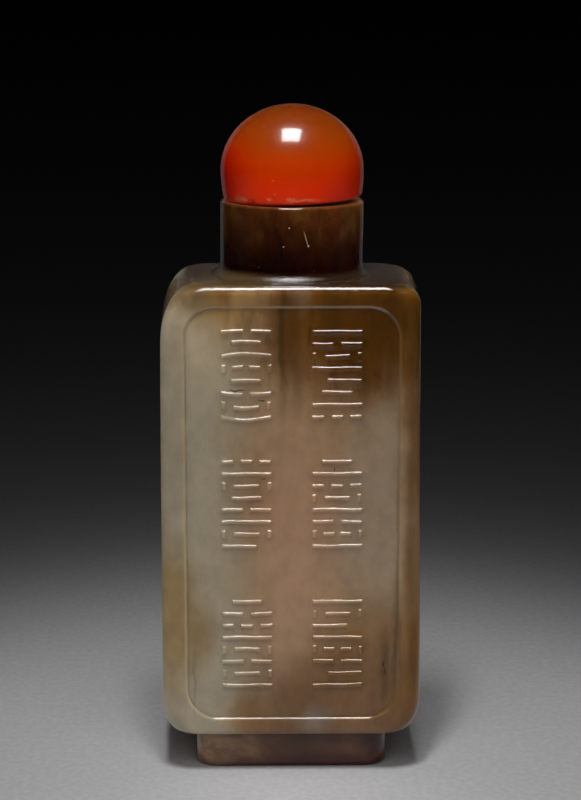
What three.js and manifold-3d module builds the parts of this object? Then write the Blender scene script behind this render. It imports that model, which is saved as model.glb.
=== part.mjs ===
// A carved stone snuff bottle with a domed stopper.
// Millimetres, +Z up, the origin under the middle of the foot, the front face towards -Y.

import * as THREE from 'three';
import { mergeVertices } from 'three/addons/utils/BufferGeometryUtils.js';
import Module from 'manifold-3d';

const wasm = await Module();
wasm.setup();

// Driving sizes of the body
const BODY_WIDTH = 27.0;
const BODY_DEPTH = 18.8;
const BODY_BOTTOM = 4.15;
const SHOULDER_HEIGHT = 51.6;
const SHOULDER_CROWN = 0.25;
const BODY_PLAN_CORNER = 2.2;
const TOP_FRONT_EDGE = 1.1;
const TOP_BACK_EDGE = 1.2;
const BOTTOM_EDGE = 0.5;

// The four corners of the front outline: how far each one cuts in sideways and in height
const TOP_LEFT_CORNER = { across: 3.6, high: 5.2 };
const TOP_RIGHT_CORNER = { across: 3.0, high: 2.3 };
const BOTTOM_LEFT_CORNER = { across: 2.3, high: 3.8 };
const BOTTOM_RIGHT_CORNER = { across: 2.4, high: 3.6 };

// The neck stands a little to the right of the middle, as it was carved
const NECK_OFFSET = 0.2;
const NECK_RADIUS = 7.46;
const NECK_FILLET = 0.7;
const RIM_HEIGHT = 59.38;
const RIM_ROUNDING = 0.3;

// The foot
const FOOT_WIDTH = 19.9;
const FOOT_DEPTH = 13.0;
const FOOT_OFFSET = 0.1;
const FOOT_PLAN_CORNER = 2.6;
const FOOT_EDGE = 0.5;
const FOOT_RING_WIDTH = 2.2;
const FOOT_RECESS = 0.6;

// The hollow inside
const MOUTH_RADIUS = 3.5;
const MOUTH_ROUNDING = 0.35;
const SIDE_WALL = 2.9;
const FACE_WALL = 2.8;
const HOLLOW_BOTTOM = 7.0;
const HOLLOW_TOP = 48.6;
const HOLLOW_CORNER = { across: 4.0, high: 5.0 };
const HOLLOW_EDGE = 3.0;
const HOLLOW_PLAN_CORNER = 3.0;

// The sunken panels on the two faces
const PANEL_WIDTH = 22.85;
const PANEL_OFFSET = 0.18;
const PANEL_BOTTOM = 5.95;
const PANEL_TOP = 49.45;
const PANEL_CORNER = 3.4;
const PANEL_DEPTH = 0.35;
const PANEL_RAMP = 0.5;

// The shallow strokes: six blocks in two columns, each a stack of rows
const STROKE_WIDTH = 0.46;
const STROKE_HEIGHT = 0.3;
const STROKE_PITCH = 1.27;
const UPRIGHT_LENGTH = 0.85;
const BLOCK_WIDTH = 5.2;
const BLOCK_COLUMNS = [-4.6, 4.8];
const BLOCK_TOPS = [46.9, 33.3, 18.5];

// The stopper, and how it sits on the rim
const STOPPER_RADIUS = 7.49;
const STOPPER_DOME = 6.87;
const STOPPER_SKIRT = 3.0;
const STOPPER_TUCK = 0.2;
const STOPPER_EDGE = 0.55;
const STOPPER_LIFT = 0.32;
const STOPPER_LEAN = THREE.MathUtils.degToRad(-1.6);

// How finely the round parts are cut into faces
const CORNER_STEPS = 5;
const EDGE_STEPS = 9;
const FILLET_STEPS = 5;
const ROUNDING_STEPS = 3;
const DOME_STEPS = 12;
const TURNED_SEGMENTS = 44;

// Chips in the stopper's lower edge: direction from the front in degrees, height, size
const CHIPS = [
  { turn: -38, height: 0.1, size: [0.8, 0.45, 0.5] },
  { turn: -14, height: 0.0, size: [0.4, 0.3, 0.35] },
  { turn: 8, height: 0.0, size: [1.5, 0.35, 0.4] },
];

// A closed outline in the plane, counter-clockwise: a rectangle with quarter-round corners.
function roundedOutline(left, right, low, high, corner) {
  const centres = [
    [right - corner, high - corner, 0],
    [left + corner, high - corner, 1],
    [left + corner, low + corner, 2],
    [right - corner, low + corner, 3],
  ];
  const points = [];
  for (const [x, y, quarter] of centres) {
    for (let step = 0; step <= CORNER_STEPS; step += 1) {
      const angle = (quarter + step / CORNER_STEPS) * Math.PI / 2;
      points.push(new THREE.Vector2(x + corner * Math.cos(angle), y + corner * Math.sin(angle)));
    }
  }
  return points;
}

// Joins rings of equal length into a closed skin, with a fan over the first and the last ring.
// Each ring runs counter-clockwise when seen from the last ring's side.
function loft(rings, endRise = 0) {
  const count = rings[0].length;
  const positions = rings.flat().flatMap((point) => point.toArray());
  const middle = (ring) => {
    const sum = new THREE.Vector3();
    ring.forEach((point) => sum.add(point));
    return sum.divideScalar(count);
  };
  const first = middle(rings[0]);
  const last = middle(rings[rings.length - 1]);
  last.z += endRise;
  positions.push(...first.toArray(), ...last.toArray());
  const firstIndex = rings.length * count;
  const lastIndex = firstIndex + 1;
  const topRow = (rings.length - 1) * count;
  const faces = [];
  for (let side = 0; side < count; side += 1) {
    const next = (side + 1) % count;
    for (let row = 0; row < topRow; row += count) {
      faces.push(row + side, row + next, row + count + next);
      faces.push(row + side, row + count + next, row + count + side);
    }
    faces.push(firstIndex, next, side);
    faces.push(lastIndex, topRow + side, topRow + next);
  }
  const geometry = new THREE.BufferGeometry();
  geometry.setAttribute('position', new THREE.Float32BufferAttribute(positions, 3));
  geometry.setIndex(faces);
  return geometry;
}

function solid(geometry) {
  const bare = geometry.clone();
  bare.deleteAttribute('normal');
  bare.deleteAttribute('uv');
  const merged = mergeVertices(bare);
  return new wasm.Manifold(new wasm.Mesh({
    numProp: 3,
    vertProperties: merged.getAttribute('position').array,
    triVerts: Uint32Array.from(merged.index.array),
  }));
}

function geometryOf(manifold) {
  const mesh = manifold.getMesh();
  const geometry = new THREE.BufferGeometry();
  geometry.setAttribute('position', new THREE.BufferAttribute(mesh.vertProperties, 3));
  geometry.setIndex(new THREE.BufferAttribute(mesh.triVerts, 1));
  geometry.computeVertexNormals();
  return geometry;
}

// How far a rounded corner has cut in sideways, at a distance below (or above) its end.
function cornerInset(distance, { across, high }) {
  if (distance >= high) return 0;
  const rise = 1 - distance / high;
  return across * (1 - Math.sqrt(1 - rise * rise));
}

function edgeInset(distance, radius) {
  return cornerInset(distance, { across: radius, high: radius });
}

// Heights that step finely near both ends of a rounded box and leave its straight middle bare.
function roundedLevels(bottom, top, bottomReach, topReach) {
  const levels = [];
  for (let step = 0; step <= EDGE_STEPS; step += 1) {
    const rise = 1 - Math.cos((step / EDGE_STEPS) * Math.PI / 2);
    levels.push(bottom + bottomReach * rise, top - topReach * rise);
  }
  return levels.sort((a, b) => a - b);
}

// A box that is rounded in plan and in elevation, as a stack of rounded rectangles.
function roundedBox({ width, depth, bottom, top, planCorner, corners, edges, crown = 0 }) {
  const reach = (a, b) => Math.max(corners[a].high, corners[b].high);
  const bottomReach = reach('bottomLeft', 'bottomRight');
  const topReach = reach('topLeft', 'topRight');
  const levels = roundedLevels(bottom, top, bottomReach, topReach);
  const rings = levels.map((z) => {
    const above = z - bottom;
    const below = top - z;
    const left = cornerInset(above, corners.bottomLeft) + cornerInset(below, corners.topLeft);
    const right = cornerInset(above, corners.bottomRight) + cornerInset(below, corners.topRight);
    const front = edgeInset(above, edges.bottom) + edgeInset(below, edges.topFront);
    const back = edgeInset(above, edges.bottom) + edgeInset(below, edges.topBack);
    const outline = roundedOutline(
      left - width / 2, width / 2 - right, front - depth / 2, depth / 2 - back, planCorner);
    return outline.map((point) => new THREE.Vector3(point.x, point.y, z));
  });
  return loft(rings, crown);
}

function bodyBlock() {
  return roundedBox({
    width: BODY_WIDTH,
    depth: BODY_DEPTH,
    bottom: BODY_BOTTOM,
    top: SHOULDER_HEIGHT,
    planCorner: BODY_PLAN_CORNER,
    corners: {
      topLeft: TOP_LEFT_CORNER,
      topRight: TOP_RIGHT_CORNER,
      bottomLeft: BOTTOM_LEFT_CORNER,
      bottomRight: BOTTOM_RIGHT_CORNER,
    },
    edges: { bottom: BOTTOM_EDGE, topFront: TOP_FRONT_EDGE, topBack: TOP_BACK_EDGE },
    crown: SHOULDER_CROWN,
  });
}

// Points on an arc in the plane of a turned profile, as angles in degrees.
function arcPoints(x, y, radius, from, to, steps) {
  const points = [];
  for (let step = 0; step <= steps; step += 1) {
    const angle = THREE.MathUtils.degToRad(from + (to - from) * (step / steps));
    points.push(new THREE.Vector2(x + radius * Math.cos(angle), y + radius * Math.sin(angle)));
  }
  return points;
}

// A shape turned about the Z axis from a profile of radius and height.
function turned(profile) {
  return new THREE.LatheGeometry(profile, TURNED_SEGMENTS).rotateX(Math.PI / 2);
}

function neckBlock() {
  const belowCrown = SHOULDER_CROWN / 4;
  const rootHeight = SHOULDER_HEIGHT + belowCrown;
  const rootBelow = 1.5;
  const fillet = arcPoints(
    NECK_RADIUS + NECK_FILLET, rootHeight + NECK_FILLET, NECK_FILLET, 270, 180, FILLET_STEPS);
  const rim = arcPoints(
    NECK_RADIUS - RIM_ROUNDING, RIM_HEIGHT - RIM_ROUNDING, RIM_ROUNDING, 0, 90, ROUNDING_STEPS);
  const profile = [
    new THREE.Vector2(0, rootHeight - rootBelow),
    new THREE.Vector2(NECK_RADIUS + NECK_FILLET, rootHeight - rootBelow),
    ...fillet,
    ...rim,
    new THREE.Vector2(0, RIM_HEIGHT),
  ];
  return turned(profile).translate(NECK_OFFSET, 0, 0);
}

// The bore through the neck, with a rounded mouth. Its lower end opens into the hollow.
function boreCutter() {
  const above = 1;
  const mouth = arcPoints(
    MOUTH_RADIUS + MOUTH_ROUNDING, RIM_HEIGHT - MOUTH_ROUNDING, MOUTH_ROUNDING,
    180, 90, ROUNDING_STEPS);
  const lowerEnd = HOLLOW_TOP - 1;
  const profile = [
    new THREE.Vector2(0, lowerEnd),
    new THREE.Vector2(MOUTH_RADIUS, lowerEnd),
    ...mouth,
    new THREE.Vector2(MOUTH_RADIUS + MOUTH_ROUNDING, RIM_HEIGHT + above),
    new THREE.Vector2(0, RIM_HEIGHT + above),
  ];
  return turned(profile).translate(NECK_OFFSET, 0, 0);
}

function hollow() {
  return roundedBox({
    width: BODY_WIDTH - 2 * SIDE_WALL,
    depth: BODY_DEPTH - 2 * FACE_WALL,
    bottom: HOLLOW_BOTTOM,
    top: HOLLOW_TOP,
    planCorner: HOLLOW_PLAN_CORNER,
    corners: {
      topLeft: HOLLOW_CORNER,
      topRight: HOLLOW_CORNER,
      bottomLeft: HOLLOW_CORNER,
      bottomRight: HOLLOW_CORNER,
    },
    edges: { bottom: HOLLOW_EDGE, topFront: HOLLOW_EDGE, topBack: HOLLOW_EDGE },
  });
}

function footBlock() {
  const sunk = 0.6;
  const rings = [];
  const level = (z, inset) => {
    const outline = roundedOutline(
      FOOT_OFFSET + inset - FOOT_WIDTH / 2, FOOT_OFFSET + FOOT_WIDTH / 2 - inset,
      inset - FOOT_DEPTH / 2, FOOT_DEPTH / 2 - inset, FOOT_PLAN_CORNER - inset);
    rings.push(outline.map((point) => new THREE.Vector3(point.x, point.y, z)));
  };
  for (let step = 0; step <= ROUNDING_STEPS; step += 1) {
    const z = FOOT_EDGE * (1 - Math.cos((step / ROUNDING_STEPS) * Math.PI / 2));
    level(z, edgeInset(z, FOOT_EDGE));
  }
  level(BODY_BOTTOM + sunk, 0);
  return loft(rings);
}

// The shallow recess under the foot that leaves a ring for it to stand on.
function footRecess() {
  const slope = 0.4;
  const corner = 1.6;
  const level = (z, inset) => roundedOutline(
    FOOT_OFFSET + inset - FOOT_WIDTH / 2, FOOT_OFFSET + FOOT_WIDTH / 2 - inset,
    inset - FOOT_DEPTH / 2, FOOT_DEPTH / 2 - inset, corner,
  ).map((point) => new THREE.Vector3(point.x, point.y, z));
  return loft([
    level(-1, FOOT_RING_WIDTH),
    level(0, FOOT_RING_WIDTH),
    level(FOOT_RECESS, FOOT_RING_WIDTH + slope),
  ]);
}

// Cuts one sunken panel with sloping edges. Side is -1 for the front face and 1 for the back.
function panelCutter(side) {
  const face = BODY_DEPTH / 2;
  const level = (out, inset) => roundedOutline(
    PANEL_OFFSET + inset - PANEL_WIDTH / 2, PANEL_OFFSET + PANEL_WIDTH / 2 - inset,
    PANEL_BOTTOM + inset, PANEL_TOP - inset, PANEL_CORNER - inset,
  ).map((point) => new THREE.Vector3(-side * point.x, side * (face + out), point.y));
  return loft([level(-PANEL_DEPTH, PANEL_RAMP), level(0, 0), level(1, 0)]);
}

// One row of a block: the stretches of its width that carry a stroke, and whether
// two short uprights stand beside them.
const WHOLE = { bars: [[0, 1]] };
const SPLIT = { bars: [[0, 0.43], [0.57, 1]] };
const LEFTWARD = { bars: [[0, 0.7]] };
const RIGHTWARD = { bars: [[0.3, 1]] };
const MIDDLE = { bars: [[0.2, 0.8]] };
const THIRDS = { bars: [[0, 0.24], [0.38, 0.62], [0.76, 1]] };
const FLANKED = { bars: [[0.24, 0.76]], uprights: [0.045, 0.955] };
const PAIRED = { bars: [[0.22, 0.45], [0.55, 0.78]], uprights: [0.045, 0.955] };

const BLOCKS = [
  [
    [SPLIT, MIDDLE, WHOLE, PAIRED, MIDDLE, SPLIT, FLANKED, WHOLE],
    [THIRDS, WHOLE, FLANKED, MIDDLE, SPLIT, WHOLE, FLANKED, LEFTWARD],
    [MIDDLE, SPLIT, THIRDS, WHOLE, FLANKED, SPLIT, FLANKED, WHOLE],
  ],
  [
    [WHOLE, SPLIT, FLANKED, WHOLE, RIGHTWARD, MIDDLE, WHOLE, THIRDS],
    [MIDDLE, WHOLE, THIRDS, FLANKED, WHOLE, SPLIT, PAIRED, WHOLE],
    [WHOLE, FLANKED, LEFTWARD, WHOLE, PAIRED, SPLIT, RIGHTWARD, WHOLE],
  ],
];

// A raised stroke on the floor of the front panel.
function stroke(x, z, width, height) {
  const sunk = 0.15;
  const floor = -BODY_DEPTH / 2 + PANEL_DEPTH;
  const bar = new THREE.BoxGeometry(width, STROKE_HEIGHT + sunk, height);
  return bar.translate(x, floor + (sunk - STROKE_HEIGHT) / 2, z);
}

function strokes() {
  const made = [];
  BLOCKS.forEach((column, side) => {
    const left = BLOCK_COLUMNS[side] - BLOCK_WIDTH / 2;
    column.forEach((rows, place) => {
      rows.forEach((row, index) => {
        const z = BLOCK_TOPS[place] - STROKE_WIDTH / 2 - index * STROKE_PITCH;
        for (const [from, to] of row.bars) {
          const middle = left + BLOCK_WIDTH * (from + to) / 2;
          made.push(stroke(middle, z, BLOCK_WIDTH * (to - from), STROKE_WIDTH));
        }
        for (const at of row.uprights ?? []) {
          made.push(stroke(left + BLOCK_WIDTH * at, z, STROKE_WIDTH, UPRIGHT_LENGTH));
        }
      });
    });
  });
  return made;
}

function bottleGeometry() {
  let bottle = solid(bodyBlock()).add(solid(neckBlock())).add(solid(footBlock()));
  for (const cutter of [panelCutter(-1), panelCutter(1), footRecess()]) {
    bottle = bottle.subtract(solid(cutter));
  }
  for (const bar of strokes()) {
    bottle = bottle.add(solid(bar));
  }
  return geometryOf(bottle.subtract(solid(hollow())).subtract(solid(boreCutter())));
}

// The stopper stands on its flat base: a rounded lower edge, a skirt that widens a little
// upwards, and a dome that is half an ellipse.
function stopperBlock() {
  const flatRadius = STOPPER_RADIUS - STOPPER_TUCK - STOPPER_EDGE;
  const profile = [new THREE.Vector2(0, 0)];
  profile.push(...arcPoints(flatRadius, STOPPER_EDGE, STOPPER_EDGE, 270, 360, FILLET_STEPS));
  for (let step = 0; step <= DOME_STEPS; step += 1) {
    const angle = (step / DOME_STEPS) * Math.PI / 2;
    const radius = step === DOME_STEPS ? 0 : STOPPER_RADIUS * Math.cos(angle);
    profile.push(new THREE.Vector2(radius, STOPPER_SKIRT + STOPPER_DOME * Math.sin(angle)));
  }
  return turned(profile);
}

function chipCutter({ turn, height, size }) {
  const angle = THREE.MathUtils.degToRad(turn);
  const radius = STOPPER_RADIUS - STOPPER_TUCK;
  return new THREE.SphereGeometry(1, 8, 6)
    .scale(...size)
    .rotateZ(angle)
    .translate(radius * Math.sin(angle), -radius * Math.cos(angle), height);
}

function stopperGeometry() {
  let stopper = solid(stopperBlock());
  for (const chip of CHIPS) {
    stopper = stopper.subtract(solid(chipCutter(chip)));
  }
  return geometryOf(stopper);
}

function stone(color, roughness) {
  return new THREE.MeshStandardMaterial({ color, roughness, metalness: 0 });
}

const snuffBottle = new THREE.Group();
snuffBottle.name = 'snuff_bottle';

const bottle = new THREE.Mesh(bottleGeometry(), stone(0x9a8468, 0.3));
bottle.name = 'bottle';
snuffBottle.add(bottle);

const stopperSeat = new THREE.Group();
stopperSeat.position.set(NECK_OFFSET, 0, RIM_HEIGHT + STOPPER_LIFT);
stopperSeat.rotation.y = STOPPER_LEAN;
snuffBottle.add(stopperSeat);

const stopper = new THREE.Mesh(stopperGeometry(), stone(0xc83c0a, 0.2));
stopper.name = 'stopper';
stopperSeat.add(stopper);

export default snuffBottle;
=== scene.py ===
"""A carved stone snuff bottle with a domed stopper, on a pale floor under a soft light.

Shapes are worked out in millimetres, in the frame's own axes, and stored in metres: X to the right
as the camera sees the front, Y away from the camera, Z up from the foot's underside.
"""
import math
from functools import partialmethod

import bpy
import numpy as np
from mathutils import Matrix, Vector


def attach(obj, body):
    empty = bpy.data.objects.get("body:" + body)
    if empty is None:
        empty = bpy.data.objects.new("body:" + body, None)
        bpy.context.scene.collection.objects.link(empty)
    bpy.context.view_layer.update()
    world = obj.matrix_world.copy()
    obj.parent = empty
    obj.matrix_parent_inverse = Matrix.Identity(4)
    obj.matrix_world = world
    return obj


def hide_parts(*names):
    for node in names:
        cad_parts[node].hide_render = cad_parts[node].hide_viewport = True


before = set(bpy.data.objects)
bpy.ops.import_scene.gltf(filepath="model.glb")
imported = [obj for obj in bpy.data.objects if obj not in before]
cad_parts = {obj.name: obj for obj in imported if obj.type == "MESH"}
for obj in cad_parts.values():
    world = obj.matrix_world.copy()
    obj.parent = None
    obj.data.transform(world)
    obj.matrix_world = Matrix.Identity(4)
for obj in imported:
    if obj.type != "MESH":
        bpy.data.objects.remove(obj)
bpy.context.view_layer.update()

MM = 0.001

# Sizes of the body. Sizes are the solids' own, except where a comment says otherwise.
BODY_WIDTH = 27.0
BODY_DEPTH = 18.8
BODY_BOTTOM = 4.15
SHOULDER_HEIGHT = 51.6
BODY_ENDS = (BODY_BOTTOM, SHOULDER_HEIGHT)
PLAN_CORNER = 2.2
# The left, right, front and back: half the body's size there, and how far its low and its high
# corner cut in sideways and in height. The top left corner is higher than the solid's.
BODY_SIDES = (
    (BODY_WIDTH / 2, ((2.3, 3.8), (3.6, 6.2))),
    (BODY_WIDTH / 2, ((2.4, 3.6), (3.0, 2.3))),
    (BODY_DEPTH / 2, ((0.5, 0.5), (1.1, 1.1))),
    (BODY_DEPTH / 2, ((0.5, 0.5), (1.2, 1.2))),
)

NECK_X = 0.2
NECK_RADIUS = 7.46
# The fillet is larger than the solid's
NECK_FILLET = 1.0
# The neck's right side leans out a little towards the top, which the solid's doesn't
NECK_FLARE = 0.1
# The shoulder rises less towards the neck than the solid's
NECK_ROOT = SHOULDER_HEIGHT + 0.06
RIM_HEIGHT = 59.38
RIM_ROUNDING = 0.3
RIM_FLAT_RADIUS = 5.5

FOOT_X = 0.1
FOOT_WIDTH = 19.9
FOOT_DEPTH = 13.0
FOOT_CORNER = 2.6
FOOT_EDGE = 0.5
FOOT_RING_WIDTH = 2.2
FOOT_RECESS = 0.6
RECESS_CORNER = 1.6
# The foot's underside, from the rounded edge in: inset, height and plan corner
FOOT_UNDERSIDE = (
    (1.3, 0, 2.0),
    (FOOT_RING_WIDTH, 0, RECESS_CORNER),
    (FOOT_RING_WIDTH + 0.2, FOOT_RECESS / 2, RECESS_CORNER),
    (FOOT_RING_WIDTH + 0.4, FOOT_RECESS, RECESS_CORNER),
    (4.5, FOOT_RECESS, RECESS_CORNER),
)

MOUTH_RADIUS = 3.5
MOUTH_ROUNDING = 0.35
SIDE_WALL = 2.9
FACE_WALL = 2.8
HOLLOW_BOTTOM = 7.0
HOLLOW_TOP = 48.6
HOLLOW_ENDS = (HOLLOW_BOTTOM, HOLLOW_TOP)
HOLLOW_CORNER = (4.0, 5.0)
HOLLOW_EDGE = (3.0, 3.0)
HOLLOW_PLAN_CORNER = 3.0

# The panel is narrower and shallower than the solid's, has a steeper slope and sits lower and
# further left
PANEL_WIDTH = 22.7
PANEL_X = 0.1
# How much narrower the panel is at its foot, as a share of its width
PANEL_TAPER = 0.026
PANEL_BOTTOM = 5.78
PANEL_TOP = 49.45
PANEL_CORNER = 3.4
PANEL_DEPTH = 0.24
PANEL_RAMP = 0.28
RAMP_SOFTNESS = 0.025
# The rings of the panel's slope, by their distance in from its outer line
RAMP_INSETS = (-0.2, -0.12, -0.07, -0.03, 0.01, 0.05, 0.09, 0.13,
               0.17, 0.21, 0.25, 0.29, 0.33, 0.38, 0.48, 0.65)
# The middle of the panel's floor, which is one grid: left, right, low and high
PATCH = (-9.5, 9.7, 7.6, 47.8)

# The strokes are narrower and lower than the solid's
STROKE_WIDTH = 0.44
STROKE_HEIGHT = 0.13
STROKE_PITCH = 1.27
UPRIGHT_LENGTH = 0.85
# Where a stroke's sloping side starts and ends, in from its edge, and how round its ends are
STROKE_SLOPE = (-0.05, 0.085)
STROKE_SOFTNESS = 0.008
BLOCK_WIDTH = 5.2
BLOCK_COLUMNS = (-4.6, 4.8)
BLOCK_TOPS = (46.9, 33.3, 18.5)
# The rows of the upper left block bow away from a height: reach across and up, and how far
BOW_HEIGHT = 42.0
BOW_REACH = (3.6, 6.2)
BOW_RISE = 0.34

# The stopper sits closer to the rim than the solid, and a little to the right
STOPPER_RADIUS = 7.49
STOPPER_DOME = 6.87
STOPPER_SKIRT = 3.0
STOPPER_TUCK = 0.2
STOPPER_EDGE = 0.55
STOPPER_LIFT = 0.2
STOPPER_LEAN = math.radians(-1.6)
STOPPER_SHIFT = 0.15

# Steps of the bottle's rings at their corners, sides and faces, and of the stopper's rings
CORNER_STEPS = 12
SIDE_STEPS = 16
FACE_STEPS = 60
STOPPER_STEPS = 256
# Steps from a face's opening to its panel, and the grid's steps on the front and the back
MARGIN_STEPS = 8
FRONT_STEP = 0.7
BACK_STEP = 1.2
# Grid lines across a stroke's slope, in from the stroke's edge, and the least distance of two lines
SLOPE_LINES = (-0.075, -0.03, 0.02, 0.065, 0.11)
LEAST_STEP = 0.036


def placed(name, data):
    """An object in the scene."""
    made = bpy.data.objects.new(name, data)
    bpy.context.scene.collection.objects.link(made)
    return made


def aimed(name, data, place, aim):
    """An object that looks from one place at another. Both are in millimetres."""
    made = placed(name, data)
    made.location = Vector(place) * MM
    made.rotation_mode = "QUATERNION"
    made.rotation_quaternion = (Vector(aim) - Vector(place)).to_track_quat("-Z", "Y")
    return made


class Skin:
    """Collects points and faces, and welds points that lie in the same place."""

    def __init__(self):
        self.points = []
        self.faces = []
        self.count = 0

    def add(self, points):
        """Stores an array of points and gives their indices in the same layout."""
        points = np.asarray(points, float)
        flat = points.reshape(-1, 3)
        self.points.append(flat)
        first = self.count
        self.count += len(flat)
        return np.arange(first, self.count).reshape(points.shape[:-1])

    def quads(self, a, b, c, d):
        self.faces.append(np.stack([a.ravel(), b.ravel(), c.ravel(), d.ravel()], 1))

    def triangles(self, a, b, c):
        self.faces.append(np.stack([a.ravel(), b.ravel(), c.ravel()], 1))

    def band(self, lower, upper):
        """Quads between two closed rows of indices. The outside is on the right of lower to upper."""
        self.quads(lower, np.roll(lower, -1), np.roll(upper, -1), upper)

    def sleeve(self, index, rings, upward=True):
        """Joins rings to a first one, each to the one before, and gives the last one's indices."""
        for ring in rings:
            current = self.add(ring)
            if upward:
                self.band(index, current)
            else:
                self.band(current, index)
            index = current
        return index

    def fan(self, ring, centre, outward):
        """Closes a ring on one point. Outward is True where the ring runs as an outside band's end."""
        middle = np.full(len(ring), self.add(np.array([centre]))[0])
        following = np.roll(ring, -1)
        if outward:
            self.triangles(ring, following, middle)
        else:
            self.triangles(following, ring, middle)

    def zip(self, outer, inner):
        """Triangles between two open rows of different lengths that run side by side."""
        made = []
        i = j = 0
        steps_out, steps_in = len(outer) - 1, len(inner) - 1
        while i < steps_out or j < steps_in:
            take_outer = j == steps_in or (i < steps_out and (i + 1) / steps_out <= (j + 1) / steps_in)
            if take_outer:
                made.append((outer[i], outer[i + 1], inner[j]))
                i += 1
            else:
                made.append((outer[i], inner[j + 1], inner[j]))
                j += 1
        self.faces.append(np.array(made))

    def build(self, name, shape):
        """Makes the object. Shape moves the points, which come and go in millimetres."""
        points = np.concatenate(self.points)
        keys = np.round(points * 1e4).astype(np.int64)
        _, first, same = np.unique(keys, axis=0, return_index=True, return_inverse=True)
        same = same.ravel()
        welded = shape(points[first]) * MM
        faces = []
        for block in self.faces:
            block = same[block]
            for face in block.tolist():
                kept = [v for n, v in enumerate(face) if v != face[n - 1]]
                if len(kept) > 2:
                    faces.append(kept)
        mesh = bpy.data.meshes.new(name)
        mesh.from_pydata(welded.tolist(), [], faces)
        mesh.validate()
        mesh.shade_smooth()
        return placed(name, mesh)


def corner_inset(distance, corner):
    """How far a rounded corner has cut in at a distance from its end."""
    across, high = corner
    rise = np.clip(1 - np.asarray(distance, float) / high, 0, 1)
    return across * (1 - np.sqrt(1 - rise * rise))


def reach_at(z, half, ends, corners):
    """Half a width at a height, between a low and a high end that both have a rounded corner."""
    low, high = ends
    return half - corner_inset(high - z, corners[1]) - corner_inset(z - low, corners[0])


def body_reach(z):
    """How far the body reaches at a height, to its left, right, front and back."""
    return [reach_at(z, half, BODY_ENDS, corners) for half, corners in BODY_SIDES]


def arc(x, y, radius, start, end, steps):
    """Points on an arc, both ends included, as an array of x and y. Angles are in degrees."""
    angle = np.radians(np.linspace(start, end, steps + 1))
    return np.stack([x + radius * np.cos(angle), y + radius * np.sin(angle)], 1)


def line(start, end, steps):
    """Points on a straight line, both ends included."""
    share = np.linspace(0, 1, steps + 1)[:, None]
    return np.array(start) * (1 - share) + np.array(end) * share


def plan_ring(left, right, front, back, corner):
    """A rounded rectangle in plan, counter-clockwise, from the middle of the front right corner."""
    half = CORNER_STEPS // 2
    right_x, left_x = right - corner, corner - left
    front_y, back_y = corner - front, back - corner
    pieces = [
        arc(right_x, front_y, corner, -45, 0, half),
        line((right, front_y), (right, back_y), SIDE_STEPS),
        arc(right_x, back_y, corner, 0, 90, CORNER_STEPS),
        line((right_x, back), (left_x, back), FACE_STEPS),
        arc(left_x, back_y, corner, 90, 180, CORNER_STEPS),
        line((-left, back_y), (-left, front_y), SIDE_STEPS),
        arc(left_x, front_y, corner, 180, 270, CORNER_STEPS),
        line((left_x, -front), (right_x, -front), FACE_STEPS),
        arc(right_x, front_y, corner, -90, -45, half),
    ]
    return np.concatenate([piece[:-1] for piece in pieces])


RING_POINTS = 4 * CORNER_STEPS + 2 * SIDE_STEPS + 2 * FACE_STEPS
BACK_START = CORNER_STEPS // 2 + SIDE_STEPS + CORNER_STEPS // 2
BACK_END = BACK_START + CORNER_STEPS + FACE_STEPS
FRONT_START = RING_POINTS - CORNER_STEPS - FACE_STEPS


def at_height(ring, z):
    return np.column_stack([ring, np.full(len(ring), z)])


def body_ring(z):
    return at_height(plan_ring(*body_reach(z), PLAN_CORNER), z)


def round_ring(radius, z, angles, x=NECK_X):
    return at_height(np.column_stack([x + radius * np.cos(angles), radius * np.sin(angles)]), z)


def eased(start, end, steps):
    """Numbers from start to end that crowd towards start."""
    return start + (end - start) * (1 - np.cos(np.linspace(0, 1, steps + 1) * np.pi / 2))


# The heights that a face's opening spans, and those between which its levels are even
FACE_LOW, FACE_HIGH = 5.2, 50.3
EVEN_LOW, EVEN_HIGH = 8.4, 45.8


def body_levels():
    """Heights of the body's rings, and which of them are at the low and high end of the faces."""
    low = eased(BODY_BOTTOM, FACE_LOW, 9)
    middle = np.concatenate([
        eased(FACE_LOW, EVEN_LOW, 9)[:-1],
        np.linspace(EVEN_LOW, EVEN_HIGH, 62)[:-1],
        eased(FACE_HIGH, EVEN_HIGH, 14)[::-1],
    ])
    high = eased(SHOULDER_HEIGHT, FACE_HIGH, 12)[::-1]
    return np.concatenate([low[:-1], middle, high[1:]]), len(low) - 1, len(low) + len(middle) - 2


def face_depth(u, z, side):
    """Distance of the body's face from the middle plane. Side is -1 for the front, 1 for the back."""
    x = u if side < 0 else -u
    left, right, front, back = body_reach(z)
    beyond_right = np.clip(x - (right - PLAN_CORNER), 0, PLAN_CORNER)
    beyond_left = np.clip(-x - (left - PLAN_CORNER), 0, PLAN_CORNER)
    beyond = np.maximum(beyond_right, beyond_left)
    reach = front if side < 0 else back
    return reach - (PLAN_CORNER - np.sqrt(PLAN_CORNER ** 2 - beyond ** 2))


def on_face(u, z, sunk, side):
    """Points on a face, from the viewer's right u, height z and depth below the surface."""
    y = side * (face_depth(u, z, side) - sunk)
    return np.stack([u if side < 0 else -u, y, z], -1)


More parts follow.
